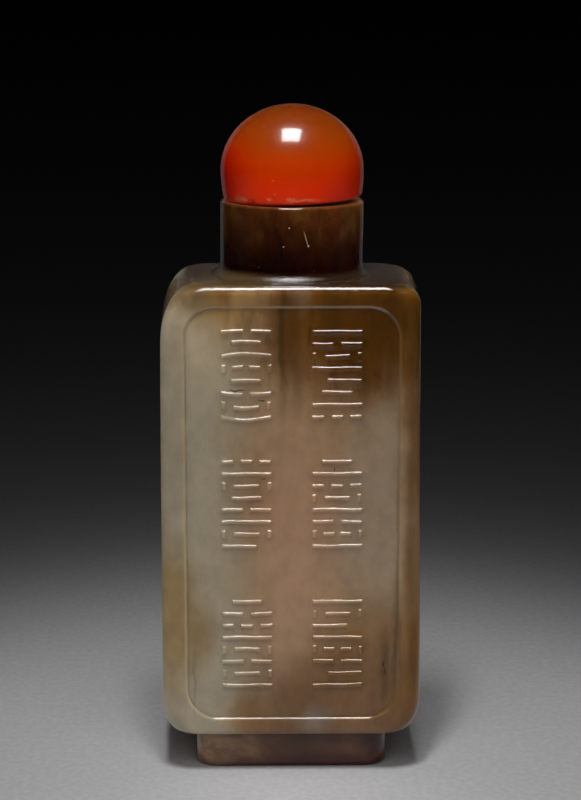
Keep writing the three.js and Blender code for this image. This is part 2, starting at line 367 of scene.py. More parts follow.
def rounded_frame(inset, count_across, count_up):
    """A rounded rectangle seen from the front, counter-clockwise from the lower left corner's middle."""
    left = PANEL_X - PANEL_WIDTH / 2 + inset
    right = PANEL_X + PANEL_WIDTH / 2 - inset
    low, high = PANEL_BOTTOM + inset, PANEL_TOP - inset
    corner = PANEL_CORNER - inset
    centres = [(left + corner, low + corner), (right - corner, low + corner),
               (right - corner, high - corner), (left + corner, high - corner)]
    eighth = corner * math.pi / 4
    rows = []
    for number, count in enumerate((count_across, count_up, count_across, count_up)):
        (x0, z0), (x1, z1) = centres[number], centres[(number + 1) % 4]
        straight = math.hypot(x1 - x0, z1 - z0)
        along = np.linspace(0, straight + 2 * eighth, count + 1)[:-1]
        first = np.clip(along, 0, eighth)
        last = np.clip(along - eighth - straight, 0, eighth)
        turn = np.radians(225 + 90 * number) + (first + last) / corner
        share = np.clip((along - eighth) / straight, 0, 1)
        rows.append(np.stack([x0 + (x1 - x0) * share + corner * np.cos(turn),
                              z0 + (z1 - z0) * share + corner * np.sin(turn)], 1))
    frame_line = np.concatenate(rows)
    rise = np.clip((frame_line[:, 1] - PANEL_BOTTOM) / (PANEL_TOP - PANEL_BOTTOM), 0, 1)
    frame_line[:, 0] = PANEL_X + (frame_line[:, 0] - PANEL_X) * (1 - PANEL_TAPER * (1 - rise))
    return frame_line


def soft_ramp(value, start, end, softness):
    """0 before the start, 1 after the end and a straight slope between, with rounded ends."""
    def soft(offset):
        return softness * np.logaddexp(0, offset / softness)

    return (soft(value - start) - soft(value - end)) / (end - start)


def ramp_depth(inset):
    """Depth of the panel's sloping edge at a distance in from its outer line."""
    return PANEL_DEPTH * soft_ramp(inset, 0, PANEL_RAMP, RAMP_SOFTNESS)


# One row of strokes: the stretches of its width that are raised, and where short uprights stand
WHOLE = ([(0, 1)], [])
SPLIT = ([(0, 0.43), (0.57, 1)], [])
LEFTWARD = ([(0, 0.7)], [])
RIGHTWARD = ([(0.3, 1)], [])
CENTRED = ([(0.2, 0.8)], [])
THIRDS = ([(0, 0.24), (0.38, 0.62), (0.76, 1)], [])
FLANKED = ([(0.24, 0.76)], [0.045, 0.955])
PAIRED = ([(0.22, 0.45), (0.55, 0.78)], [0.045, 0.955])
BLOCKS = (
    (
        (SPLIT, CENTRED, WHOLE, PAIRED, CENTRED, SPLIT, FLANKED, WHOLE),
        (THIRDS, WHOLE, FLANKED, CENTRED, SPLIT, WHOLE, FLANKED, LEFTWARD),
        (CENTRED, SPLIT, THIRDS, WHOLE, FLANKED, SPLIT, FLANKED, WHOLE),
    ),
    (
        (WHOLE, SPLIT, FLANKED, WHOLE, RIGHTWARD, CENTRED, WHOLE, THIRDS),
        (CENTRED, WHOLE, THIRDS, FLANKED, WHOLE, SPLIT, PAIRED, WHOLE),
        (WHOLE, FLANKED, LEFTWARD, WHOLE, PAIRED, SPLIT, RIGHTWARD, WHOLE),
    ),
)


def bars():
    """Every raised stroke as its left, right, lower and upper edge."""
    made = []
    half = STROKE_WIDTH / 2
    for column, centre in zip(BLOCKS, BLOCK_COLUMNS):
        left = centre - BLOCK_WIDTH / 2
        for rows, top in zip(column, BLOCK_TOPS):
            for index, (stretches, uprights) in enumerate(rows):
                z = top - half - index * STROKE_PITCH
                for start, end in stretches:
                    made.append((left + BLOCK_WIDTH * start, left + BLOCK_WIDTH * end, z - half, z + half))
                for at in uprights:
                    x = left + BLOCK_WIDTH * at
                    made.append((x - half, x + half, z - UPRIGHT_LENGTH / 2, z + UPRIGHT_LENGTH / 2))
    return made


def thinned(values, least):
    """Sorted values without those that lie closer than the least step."""
    kept = []
    for value in sorted(values):
        if not kept or value - kept[-1] >= least:
            kept.append(value)
    return np.array(kept)


def patch_lines(low, high, ends, coarse):
    """Grid lines over a patch: fine across each stroke's ends, coarse elsewhere."""
    fine = [edge + sign * offset for edge, sign in ends for offset in SLOPE_LINES]
    fine = [value for value in fine if low + coarse / 2 < value < high - coarse / 2]
    lines = thinned([low, high] + fine, LEAST_STEP)
    lines[-1] = high
    filled = [lines[0]]
    for before, after in zip(lines[:-1], lines[1:]):
        parts = max(1, math.ceil((after - before) / coarse - 0.01))
        filled.extend(before + (after - before) * (n + 1) / parts for n in range(parts))
    return np.array(filled)


def relief(x, z, strokes):
    """Height of the strokes above the panel's floor, with sloping sides."""
    height = np.zeros(x.shape)
    for left, right, low, high in strokes:
        inside = inside_of(x, z, left, right, low, high)
        height = np.maximum(height, soft_ramp(inside, *STROKE_SLOPE, STROKE_SOFTNESS))
    return height * STROKE_HEIGHT


def inside_of(x, z, left, right, low, high):
    """Distance in from the nearest side of an upright rectangle."""
    return np.minimum(np.minimum(x - left, right - x), np.minimum(z - low, high - z))


def wander(a, b, scale, phase):
    """A smooth wavering between -1 and 1, made of a few slow waves."""
    return (np.sin(a * scale + 1.3 * phase) * np.cos(b * scale * 0.83 + 2.1 * phase)
            + 0.5 * np.sin(b * scale * 1.9 + a * scale * 0.7 + phase)) / 1.5


def hand_cut(x, z, fade):
    """Small shifts that keep the strokes from looking ruled."""
    shift_x = 0.05 * wander(x, z, 1.1, 0.4)
    shift_z = 0.07 * wander(z, x, 0.9, 1.7)
    across, up = x - BLOCK_COLUMNS[0], z - BOW_HEIGHT
    near = np.exp(-(across / BOW_REACH[0]) ** 4 - (up / BOW_REACH[1]) ** 4)
    arch = 1 - (across / (BLOCK_WIDTH / 2)) ** 2
    shift_z += BOW_RISE * arch * near * np.clip(up / 2.5, -1, 1)
    return shift_x * fade, shift_z * fade


def floor_patch(skin, ring, corners, side):
    """The panel's floor with its strokes, joined to the last ring of the sloping edge."""
    left, right, low, high = PATCH
    strokes = bars() if side < 0 else []
    ends_x = [(edge, 1) for edge, *_ in strokes] + [(edge, -1) for _, edge, *_ in strokes]
    ends_z = [(edge, 1) for *_, edge, _ in strokes] + [(edge, -1) for *_, edge in strokes]
    coarse = FRONT_STEP if side < 0 else BACK_STEP
    x, z = np.meshgrid(patch_lines(left, right, ends_x, coarse), patch_lines(low, high, ends_z, coarse))
    fade = np.clip(inside_of(x, z, *PATCH) / 2, 0, 1)
    shift_x, shift_z = hand_cut(x, z, fade)
    sunk = PANEL_DEPTH - relief(x, z, strokes)
    grid = skin.add(on_face(x + shift_x, z + shift_z, sunk, side))
    skin.quads(grid[:-1, :-1], grid[:-1, 1:], grid[1:, 1:], grid[1:, :-1])
    closed = np.append(ring, ring[0])
    rows = [grid[0], grid[:, -1], grid[-1, ::-1], grid[::-1, 0]]
    for row, start, end in zip(rows, corners[:-1], corners[1:]):
        skin.zip(closed[start:end + 1], row)


def panelled_face(skin, boundary, across, up, side):
    """Fills the opening that the rings leave in one face: margin, sloping edge and floor."""
    outer = boundary[:, [0, 2]] * (-side, 1)
    inner = rounded_frame(RAMP_INSETS[0], across, up)
    rings = []
    for step in range(1, MARGIN_STEPS):
        share = step / MARGIN_STEPS
        u, z = (outer * (1 - share) + inner * share).T
        rings.append(on_face(u, z, 0, side))
    for inset in RAMP_INSETS:
        u, z = rounded_frame(inset, across, up).T
        rings.append(on_face(u, z, ramp_depth(inset), side))
    last = skin.sleeve(skin.add(boundary), rings)
    floor_patch(skin, last, np.cumsum([0, across, up, across, up]), side)


def face_boundary(rings, first, last, low, high):
    """The opening's edge in one face, counter-clockwise as its viewer sees it."""
    columns = np.arange(first, last + 1) % RING_POINTS
    bottom = rings[low, columns]
    top = rings[high, columns]
    right = rings[low:high + 1, columns[-1]]
    left = rings[low:high + 1, columns[0]]
    return np.concatenate([bottom[:-1], right[:-1], top[::-1][:-1], left[::-1][:-1]])


def body_surface(skin):
    """The body with both its panels. Gives its lowest and highest ring, as indices and as points."""
    levels, low, high = body_levels()
    rings = np.array([body_ring(z) for z in levels])
    index = skin.add(rings)
    columns = np.arange(RING_POINTS)
    in_face = (columns >= FRONT_START) | ((columns >= BACK_START) & (columns < BACK_END))
    for row, (a, d) in enumerate(zip(index[:-1], index[1:])):
        kept = ~in_face if low <= row < high else np.ones(RING_POINTS, bool)
        skin.quads(a[kept], np.roll(a, -1)[kept], np.roll(d, -1)[kept], d[kept])
    across, up = CORNER_STEPS + FACE_STEPS, high - low
    for side, first, last in ((-1, FRONT_START, RING_POINTS), (1, BACK_START, BACK_END)):
        panelled_face(skin, face_boundary(rings, first, last, low, high), across, up, side)
    return index[0], index[-1], rings[0], rings[-1]


def hollow_levels():
    """Heights of the hollow's rings, from the top down."""
    return np.concatenate([eased(HOLLOW_TOP, 42, 9), np.linspace(40, 14, 10), eased(12, HOLLOW_BOTTOM, 9)])


def neck_and_inside(skin, index, ring):
    """From the shoulder up the neck, over the rim, down the bore and round the hollow."""
    angles = np.unwrap(np.arctan2(ring[:, 1], ring[:, 0] - NECK_X))
    root = round_ring(NECK_RADIUS + NECK_FILLET, NECK_ROOT, angles)
    rings = [ring * (1 - share) + root * share for share in np.linspace(0, 1, 11)[1:-1]]
    top_of_fillet, foot_of_rim = NECK_ROOT + NECK_FILLET, RIM_HEIGHT - RIM_ROUNDING
    foot_of_mouth = RIM_HEIGHT - MOUTH_ROUNDING
    profile = [
        *arc(NECK_RADIUS + NECK_FILLET, top_of_fillet, NECK_FILLET, 270, 180, 9),
        *line((NECK_RADIUS, top_of_fillet), (NECK_RADIUS, foot_of_rim), 13)[1:-1],
        *arc(NECK_RADIUS - RIM_ROUNDING, foot_of_rim, RIM_ROUNDING, 0, 90, 6),
        (RIM_FLAT_RADIUS, RIM_HEIGHT),
        *arc(MOUTH_RADIUS + MOUTH_ROUNDING, foot_of_mouth, MOUTH_ROUNDING, 90, 180, 5),
        *line((MOUTH_RADIUS, foot_of_mouth), (MOUTH_RADIUS, HOLLOW_TOP), 9)[1:],
    ]
    rings += [round_ring(radius, z, angles) for radius, z in profile]
    for z in hollow_levels():
        half_width = reach_at(z, BODY_WIDTH / 2 - SIDE_WALL, HOLLOW_ENDS, (HOLLOW_CORNER, HOLLOW_CORNER))
        half_depth = reach_at(z, BODY_DEPTH / 2 - FACE_WALL, HOLLOW_ENDS, (HOLLOW_EDGE, HOLLOW_EDGE))
        plan = plan_ring(half_width, half_width, half_depth, half_depth, HOLLOW_PLAN_CORNER)
        rings.append(at_height(plan, z))
    skin.fan(skin.sleeve(index, rings), (0, 0, HOLLOW_BOTTOM), outward=True)


def foot_ring(inset, z, corner=FOOT_CORNER):
    half_width, half_depth = FOOT_WIDTH / 2 - inset, FOOT_DEPTH / 2 - inset
    plan = plan_ring(half_width - FOOT_X, half_width + FOOT_X, half_depth, half_depth, corner)
    return at_height(plan, z)


def foot_surface(skin, index, ring):
    """From the body's lowest ring in under it, down the foot and across its underside."""
    top = foot_ring(-0.2, BODY_BOTTOM)
    rings = [ring * (1 - share) + top * share for share in (0.3, 0.6, 0.85, 1)]
    rings.append(foot_ring(-0.06, BODY_BOTTOM - 0.05))
    rings += [foot_ring(0, z) for z in np.linspace(BODY_BOTTOM - 0.2, FOOT_EDGE, 12)]
    for angle in np.radians([15, 30, 45, 60, 75, 90]):
        inset = FOOT_EDGE * (1 - math.cos(angle))
        rings.append(foot_ring(inset, FOOT_EDGE * (1 - math.sin(angle)), FOOT_CORNER - inset))
    rings += [foot_ring(*row) for row in FOOT_UNDERSIDE]
    skin.fan(skin.sleeve(index, rings, upward=False), (FOOT_X, 0, FOOT_RECESS), outward=False)


def rising(value, start, length):
    """0 before the start, 1 from a length after it, and a straight rise between."""
    return np.clip((value - start) / length, 0, 1)


def falling(value, end, length):
    """1 until a length before the end, 0 after it, and a straight fall between."""
    return np.clip((end - value) / length, 0, 1)


def carved(points):
    """The slight unevenness of a stone that was cut and given its polish by hand."""
    x, y, z = points.T
    moved = points.copy()
    outward = np.maximum(np.abs(x) / (BODY_WIDTH / 2), np.abs(y) / (BODY_DEPTH / 2))
    on_body = rising(outward, 0.86, 0.1) * rising(z, 5.0, 4) * falling(z, 51.0, 3)
    on_shoulder = rising(z, 49.5, 2) * falling(z, 58.0, 3)
    moved[:, 0] += 0.05 * wander(z, y, 0.14, 2.2) * on_body
    moved[:, 1] += 0.035 * wander(x, z, 0.33, 0.9) * on_body
    moved[:, 2] += 0.03 * wander(x, y, 0.45, 1.1) * on_shoulder
    moved[:, 0] += NECK_FLARE * rising(x, 0, NECK_RADIUS) * rising(z, 54.0, 3)
    return moved


def make_bottle():
    skin = Skin()
    low_index, high_index, low_ring, high_ring = body_surface(skin)
    neck_and_inside(skin, high_index, high_ring)
    foot_surface(skin, low_index, low_ring)
    return skin.build("carved_bottle", carved)


def stopper_profile():
    """Radius and height from the middle of the base, out and up to the top."""
    flat = STOPPER_RADIUS - STOPPER_TUCK - STOPPER_EDGE
    base = line((0.4, 0), (flat, 0), 11)[:-1]
    edge = arc(flat, STOPPER_EDGE, STOPPER_EDGE, 270, 360, 12)
    share = np.linspace(0, 1, 22)[1:-1]
    skirt = np.stack([STOPPER_RADIUS - STOPPER_TUCK * (1 - share) ** 2,
                      STOPPER_EDGE + (STOPPER_SKIRT - STOPPER_EDGE) * share], 1)
    angle = np.radians(np.linspace(0, 89, 64))
    dome = np.stack([STOPPER_RADIUS * np.cos(angle), STOPPER_SKIRT + STOPPER_DOME * np.sin(angle)], 1)
    return np.concatenate([base, edge, skirt, dome])


# Chips in the stopper's lower edge: direction from the front in degrees, height, size
CHIPS = (
    (-38, 0.1, (0.8, 0.45, 0.5)),
    (-14, 0.0, (0.4, 0.3, 0.35)),
    (8, 0.0, (1.5, 0.35, 0.4)),
)


def chipped(points):
    """Breaks small flakes out of the lower edge."""
    moved = points.copy()
    radius = STOPPER_RADIUS - STOPPER_TUCK
    for turn, height, size in CHIPS:
        angle = math.radians(turn)
        outward = np.array([math.sin(angle), -math.cos(angle), 0])
        along = np.array([math.cos(angle), math.sin(angle), 0])
        local = moved - outward * radius - np.array([0, 0, height])
        scaled = np.stack([local @ along / size[0], local @ outward / size[1], local[:, 2] / size[2]], 1)
        rough = 1 + 0.12 * np.sin(local @ along * 9 + turn) + 0.08 * np.sin(local[:, 2] * 17)
        distance = np.linalg.norm(scaled, axis=1) / rough
        inside = distance < 1
        push = np.sqrt(np.clip(1 - (distance ** 2 - scaled[:, 1] ** 2 / rough ** 2), 0, 1))
        target = -size[1] * push * rough
        step = np.where(inside, target - local @ outward, 0)
        moved += np.outer(np.minimum(step, 0), outward)
    return moved


def seated(points):
    """Leans the stopper and sets it on the rim."""
    x, y, z = points.T
    cos, sin = math.cos(STOPPER_LEAN), math.sin(STOPPER_LEAN)
    across = x * cos + z * sin + NECK_X + STOPPER_SHIFT
    up = z * cos - x * sin + RIM_HEIGHT + STOPPER_LIFT
    return np.stack([across, y, up], 1)


def make_stopper():
    skin = Skin()
    angles = np.linspace(0, 2 * np.pi, STOPPER_STEPS + 1)[:-1]
    rings = [round_ring(radius, z, angles, x=0) for radius, z in stopper_profile()]
    base = skin.add(rings[0])
    skin.fan(base, (0, 0, 0), outward=False)
    skin.fan(skin.sleeve(base, rings[1:]), (0, 0, STOPPER_SKIRT + STOPPER_DOME), outward=True)
    return skin.build("domed_stopper", lambda points: seated(chipped(points)))


def shade(red, green, blue):
    """A colour given on the usual 0 to 255 scale, as the linear values that shaders take."""
    values = np.array([red, green, blue]) / 255
    linear = np.where(values <= 0.04045, values / 12.92, ((values + 0.055) / 1.055) ** 2.4)
    return tuple(float(value) for value in linear)


class Material:
    """Builds one material's nodes. Values may be numbers or other nodes' outputs."""

    def __init__(self, name):
        self.made = bpy.data.materials.new(name)
        self.made.use_nodes = True
        self.nodes = self.made.node_tree.nodes
        self.links = self.made.node_tree.links
        self.shader = self.nodes["Principled BSDF"]
        place = self.nodes.new("ShaderNodeTexCoord").outputs["Object"]
        self.place = self.vector("SCALE", place, scale=1 / MM)

    def give(self, socket, value):
        if isinstance(value, bpy.types.NodeSocket):
            self.links.new(value, socket)
        elif socket.type == "RGBA":
            socket.default_value = (*value, 1.0)
        else:
            socket.default_value = value

    def set(self, **values):
        """Sets the shader's sockets by their names, with _ for a space."""
        for name, value in values.items():
            self.give(self.shader.inputs[name.replace("_", " ")], value)

    def node(self, kind, *values, **settings):
        """A new node with its settings and the values of its first inputs."""
        made = self.nodes.new("ShaderNode" + kind)
        for name, setting in settings.items():
            setattr(made, name, setting)
        for socket, value in zip(made.inputs, values):
            self.give(socket, value)
        return made

    def math(self, operation, *values):
        return self.node("Math", *values, operation=operation).outputs[0]

    plus = partialmethod(math, "ADD")
    minus = partialmethod(math, "SUBTRACT")
    times = partialmethod(math, "MULTIPLY")
    over = partialmethod(math, "DIVIDE")
    most = partialmethod(math, "MAXIMUM")
    least = partialmethod(math, "MINIMUM")
    absolute = partialmethod(math, "ABSOLUTE")

    def vector(self, operation, *values, scale=None):
        node = self.node("VectorMath", *values, operation=operation)
        if scale is not None:
            self.give(node.inputs["Scale"], scale)
        return node.outputs["Value" if operation == "LENGTH" else "Vector"]

    def axes(self, vector):
        return self.node("SeparateXYZ", vector).outputs

    def joined(self, x, y, z):
        return self.node("CombineXYZ", x, y, z).outputs[0]

    def noise(self, size, detail=3.0, roughness=0.5, vector=None, colour=False):
        """Smooth random values near 0.5. Size is how far apart its spots are, per axis or for all."""
        sizes = size if isinstance(size, tuple) else (size, size, size)
        vector = self.place if vector is None else vector
        node = self.node("TexNoise", self.vector("DIVIDE", vector, sizes))
        node.inputs["Scale"].default_value = 1.0
        node.inputs["Detail"].default_value = detail
        node.inputs["Roughness"].default_value = roughness
        return node.outputs["Color" if colour else "Fac"]

    def pits(self, spacing, radius):
        """1 at the middle of scattered small pits, 0 outside them. Both sizes are in millimetres."""
        node = self.node("TexVoronoi", self.vector("SCALE", self.place, scale=1 / spacing))
        node.inputs["Scale"].default_value = 1.0
        return self.span(node.outputs["Distance"], 0.3 * radius / spacing, radius / spacing, 1.0, 0.0)

    def warped(self, vector, size, reach):
        """The vector moved about by up to some millimetres, so that zones get natural edges."""
        push = self.noise(size, vector=vector, colour=True)
        push = self.vector("SUBTRACT", push, (0.5, 0.5, 0.5))
        return self.vector("ADD", vector, self.vector("SCALE", push, scale=2 * reach))

    def span(self, value, low, high, start=0.0, end=1.0):
        """Start below low, end above high, and a smooth change between."""
        values = (value, low, high, start, end)
        return self.node("MapRange", *values, interpolation_type="SMOOTHSTEP").outputs[0]

    def patch(self, vector, centre, reach, softness=0.5):
        """1 inside an ellipsoid, 0 outside it, and a soft edge."""
        offset = self.vector("DIVIDE", self.vector("SUBTRACT", vector, centre), reach)
        distance = self.vector("LENGTH", offset)
        return self.span(distance, 1 - softness, 1 + softness, 1.0, 0.0)

    def mix(self, share, first, second, blend="MIX"):
        node = self.node("Mix", data_type="RGBA", blend_type=blend)
        for name, value in (("Factor_Float", share), ("A_Color", first), ("B_Color", second)):
            socket = next(s for s in node.inputs if s.identifier == name)
            self.give(socket, value)
        return next(s for s in node.outputs if s.identifier == "Result_Color")

    def scaled(self, colour, value):
        """A colour made lighter or darker by a factor."""
        grey = self.node("CombineColor", value, value, value).outputs[0]
        return self.mix(1.0, colour, grey, "MULTIPLY")

    def bump(self, height, strength, distance, socket="Normal"):
        node = self.node("Bump")
        self.give(node.inputs["Height"], height)
        node.inputs["Strength"].default_value = strength
        node.inputs["Distance"].default_value = distance
        self.give(self.shader.inputs[socket], node.outputs[0])


CREAM = shade(145, 135, 115)
PALE_CREAM = shade(170, 153, 126)
TAN = shade(138, 111, 82)
WARM = shade(154, 122, 96)
PINK_GREY = shade(136, 118, 99)
SIDE_GREY = shade(118, 109, 93)
STAIN = shade(120, 84, 50)
# Painted light for the panel's left and top edge
PAINTED_LEDGE_LIGHT = shade(186, 166, 130)
PALE_GOLD = shade(150, 118, 70)
GOLD = shade(112, 72, 18)
BROWN = shade(76, 42, 8)
DARK_GOLD = shade(56, 32, 0)
PALE_GAP = shade(118, 100, 78)
DARK_BROWN = shade(36, 16, 0)
OLIVE = shade(124, 100, 60)
DARK_OLIVE = shade(84, 64, 34)
# Painted shade on the top left corner and the panel's right edge
EDGE_BROWN = shade(110, 75, 28)
LOW_BROWN = shade(92, 62, 28)
GREY_BLUE = shade(116, 107, 102)
SKIN = shade(36, 22, 13)
THIN_SKIN = shade(72, 56, 32)
NECK_TOP = shade(78, 38, 14)
NECK_OLIVE = shade(80, 52, 18)
# The neck's colour at its root: brown stone deepened with painted shade
NECK_LOW = shade(26, 4, 1)
# Painted light on the rim's flat top
RIM_BROWN = shade(150, 84, 50)
FOOT_PALE = shade(140, 112, 82)
FOOT_BROWN = shade(96, 62, 34)
FOOT_DARK = shade(64, 28, 10)
# Painted shade near the floor on the foot
FOOT_RED = shade(54, 16, 6)
NECK_DARK = shade(14, 4, 3)
DUST = shade(190, 170, 150)

# Broad zones of the stone, two of them with painted shade: colour, middle in X and Z, reach in X and Z,
# softness and strength. They go through the stone from front to back, unless their middle and reach in Y
# follow.
THROUGH = 60.0
ZONES = (
    (PALE_CREAM, -9, 46.6, 3.6, 4.6, 0.6, 0.6),
    (TAN, 2, 28, 8, 32, 0.45, 0.9),
    (WARM, 0.6, 25, 4.6, 13, 0.6, 0.85),
    (PINK_GREY, 8.6, 29, 3.8, 9.5, 0.5, 0.85),
    (SIDE_GREY, -14, 28, 2.4, 34, 0.9, 0.8),
    (STAIN, -4.4, 30.4, 2.3, 3.6, 0.7, 0.35, -9.4, 5),
    (STAIN, 4.4, 31.4, 2, 2.4, 0.7, 0.3, -9.4, 5),
    (GOLD, 6.5, 51.5, 9.5, 12.5, 0.4, 0.95),
    (PALE_GOLD, -6.6, 49.6, 3, 2.6, 0.7, 0.8),
    (GOLD, -7, 51.4, 1.5, 1.6, 0.7, 0.6),
    (GOLD, -3.8, 47.5, 2.6, 5, 0.7, 0.3),
    (BROWN, -0.9, 46.8, 1.2, 4.6, 0.7, 0.5, -9.4, 9),
    # Painted shade on the rounded top left corner, which faces the light
    (DARK_OLIVE, -11.6, 51.4, 4.6, 2.2, 0.6, 0.85),
    (PALE_GAP, 0.9, 50.9, 1.3, 1.9, 0.5, 0.7, -9.4, 5),
    (BROWN, 8.2, 46.8, 6.4, 6.4, 0.6, 0.9),
    (OLIVE, -12.2, 17, 3, 7, 0.6, 0.75),
    (OLIVE, -9.4, 14.5, 1.6, 3.4, 0.6, 0.6),
    (EDGE_BROWN, 10, 10, 8, 8.5, 0.5, 0.8),
    (LOW_BROWN, 0.8, 5.6, 5.6, 6.2, 0.5, 0.85),
    (EDGE_BROWN, -4.2, 5.6, 2.2, 2.8, 0.6, 0.6),
    (LOW_BROWN, 11.5, 7.5, 4.5, 6, 0.6, 0.75),
    (EDGE_BROWN, 17, 26, 5.6, 60, 0.3, 0.75),
    (BROWN, 18, 40, 5.6, 20, 0.3, 0.6),
    (TAN, 15.5, 24, 3.6, 15, 0.6, 0.95, 2, 6),
    (CREAM, 15.5, 14, 3, 9, 0.8, 0.8, 1.5, 5),
    (PALE_CREAM, 15.5, 40, 2.6, 5, 0.8, 0.6, 3, 3),
    # Painted shade over the brown stone on the top right corner, which faces the side light
    (DARK_GOLD, 14, 49.5, 2.6, 6, 0.8, 0.65),
    (GREY_BLUE, 3, 5.6, 1.8, 1.2, 0.8, 0.55, -9.4, 5),
)
STREAKED = (GOLD, BROWN, EDGE_BROWN, LOW_BROWN, OLIVE, DARK_OLIVE)
FRONT_Y = -BODY_DEPTH / 2
# Darker golden threads that run down the front: middle and reach in X and Z, and strength
THREAD_DEPTH = 9.0
THREADS = (
    (-6.7, 49.4, 0.3, 2.8, 0.25),
    (-0.2, 46.6, 1.6, 4.4, 0.5),
    (-0.8, 46.5, 0.5, 6, 0.75),
    (0.6, 43, 0.7, 4, 0.45),
    (4.2, 49.5, 1, 3, 0.4),
    (9.6, 47.6, 1.4, 3, 0.45),
    (7.4, 40.5, 0.9, 2.5, 0.35),
    (10.4, 43, 0.7, 3.6, 0.35),
    (11, 14.5, 0.4, 4.6, 0.5),
    (9.8, 11.5, 0.4, 2.8, 0.5),
    (12.6, 26, 0.5, 10, 0.35),
    (12.9, 12, 0.5, 5, 0.35),
    (-9.9, 10.2, 0.16, 2.9, 0.25),
)
# Small dark specks on the front: middle and reach in X and Z
SPECK_DEPTH = 3.0
SPECKS = (
    (9.7, 11.9, 0.12, 0.3),
    (9.9, 10.9, 0.1, 0.3),
    (-5.5, 40.6, 0.8, 0.07),
    (-3, 39.6, 0.35, 0.06),
    (4.6, 32.4, 0.07, 0.26),
    (-2.8, 31.4, 0.3, 0.06),
)


def panel_inset(stone):
    """How far inside the panel's outer line a point lies, on either face."""
    x, _, z = stone.axes(stone.place)
    taper = PANEL_TAPER / (PANEL_TOP - PANEL_BOTTOM)
    narrowing = stone.minus(1.0, stone.times(stone.minus(PANEL_TOP, z), taper))
    x = stone.plus(stone.over(stone.minus(x, PANEL_X), narrowing), PANEL_X)
    middle_z, half_z = (PANEL_TOP + PANEL_BOTTOM) / 2, (PANEL_TOP - PANEL_BOTTOM) / 2
    beyond = []
    for value, middle, half in ((x, PANEL_X, PANEL_WIDTH / 2), (z, middle_z, half_z)):
        offset = stone.absolute(stone.minus(value, middle))
        beyond.append(stone.minus(offset, half - PANEL_CORNER))
    outside = [stone.most(value, 0.0) for value in beyond]
    squares = [stone.times(value, value) for value in outside]
    corner = stone.math("SQRT", stone.plus(*squares))
    inside = stone.least(stone.most(*beyond), 0.0)
    return stone.minus(PANEL_CORNER, stone.plus(corner, inside))


def line_at(stone, value, middle, half):
    """1 where the value is near the middle, 0 from half a width away."""
    away = stone.absolute(stone.minus(value, middle))
    return stone.span(away, 0.0, half, 1.0, 0.0)


def body_colour(stone):
    """Cream stone with broad zones, dark threads and specks that slant as they go in."""
    depth = stone.plus(stone.axes(stone.place)[1], BODY_DEPTH / 2)
    slant = stone.joined(stone.times(depth, 0.25), 0.0, stone.times(depth, 0.2))
    slanted = stone.vector("ADD", stone.place, slant)
    broad = stone.warped(stone.warped(slanted, 7.0, 2.0), (1.8, 2.0, 2.6), 0.8)
    grain = stone.noise((1.8, 3.0, 5.0), 5, 0.55, slanted)
    colour = CREAM
    for tint, x, z, across, up, softness, strength, *in_depth in ZONES:
        y, deep = in_depth or (0.0, THROUGH)
        share = stone.patch(broad, (x, y, z), (across, deep, up), softness)
        if tint in STREAKED:
            share = stone.times(share, stone.span(grain, 0.3, 0.62, 0.86, 1.06))
        share = stone.least(share, 1.0)
        colour = stone.mix(stone.times(share, strength), colour, tint)
    blotches = stone.noise((1.1, 2.0, 3.2), 5, 0.6, slanted)
    high_up = stone.patch(broad, (6.0, 0.0, 52.0), (11.0, THROUGH, 14.0), 0.4)
    dark = stone.times(stone.times(stone.span(blotches, 0.48, 0.68), high_up), 0.5)
    fine = stone.warped(stone.warped(slanted, (2.0, 2.0, 4.0), 0.6), (0.6, 1.0, 1.2), 0.25)
    for x, z, across, up, strength in THREADS:
        share = stone.patch(fine, (x, FRONT_Y, z), (across, THREAD_DEPTH, up), 0.9)
        dark = stone.most(dark, stone.times(share, strength))
    colour = stone.mix(dark, colour, DARK_GOLD)
    dirt = 0.0
    for x, z, across, up in SPECKS:
        dirt = stone.most(dirt, stone.patch(fine, (x, FRONT_Y, z), (across, SPECK_DEPTH, up), 0.5))
    colour = stone.mix(stone.times(dirt, 0.75), colour, DARK_BROWN)
    cloud = stone.noise((1.8, 1.8, 2.4), 6, 0.6)
    colour = stone.scaled(colour, stone.span(cloud, 0.3, 0.7, 0.91, 1.09))
    return panel_lines(stone, colour)


def panel_lines(stone, colour):
    """The panel's edge has painted light at the left and top, painted shade at the right, and dirt in its
    groove.
    """
    inset = panel_inset(stone)
    x, _, height = stone.axes(stone.place)
    line_share = line_at(stone, inset, 0.12, 0.26)
    left_side = stone.span(x, -11.2, -9.0, 0.4, 0.0)
    # Painted light: the edge's slope is lightened at the left side and along the top
    ledge_light_share = stone.most(left_side, stone.span(height, 48.5, 49.1, 0.05, 0.34))
    colour = stone.mix(stone.times(line_share, ledge_light_share), colour, PAINTED_LEDGE_LIGHT)
    # Painted shade: the edge's slope is darkened at the right side
    ledge_shade_share = stone.span(x, 9.6, 10.6, 0.0, 0.45)
    colour = stone.mix(stone.times(line_share, ledge_shade_share), colour, DARK_OLIVE)
    patches = stone.span(stone.noise((2.5, 2.5, 3.0), 3), 0.42, 0.62, 0.0, 0.25)
    dirt = stone.times(line_at(stone, inset, PANEL_RAMP, 0.15), patches)
    return stone.mix(dirt, colour, DARK_GOLD)


# Specks of dust on the neck: middle and radius
NECK_DUST = (
    ((1.82, -7.3, 55.42), 0.09),
    ((-0.15, -7.4, 57.3), 0.07),
    ((-0.75, -7.4, 55.35), 0.07),
)
SCRATCH_MIDDLE = (1.6, -7.3, 56.1)
SCRATCH_REACH = (0.05, 1.0, 0.75)
SCRATCH_SLANT = 0.28
NECK_CRACK = ((-1.35, -7.4, 54.0), (0.2, 2.0, 4.0))


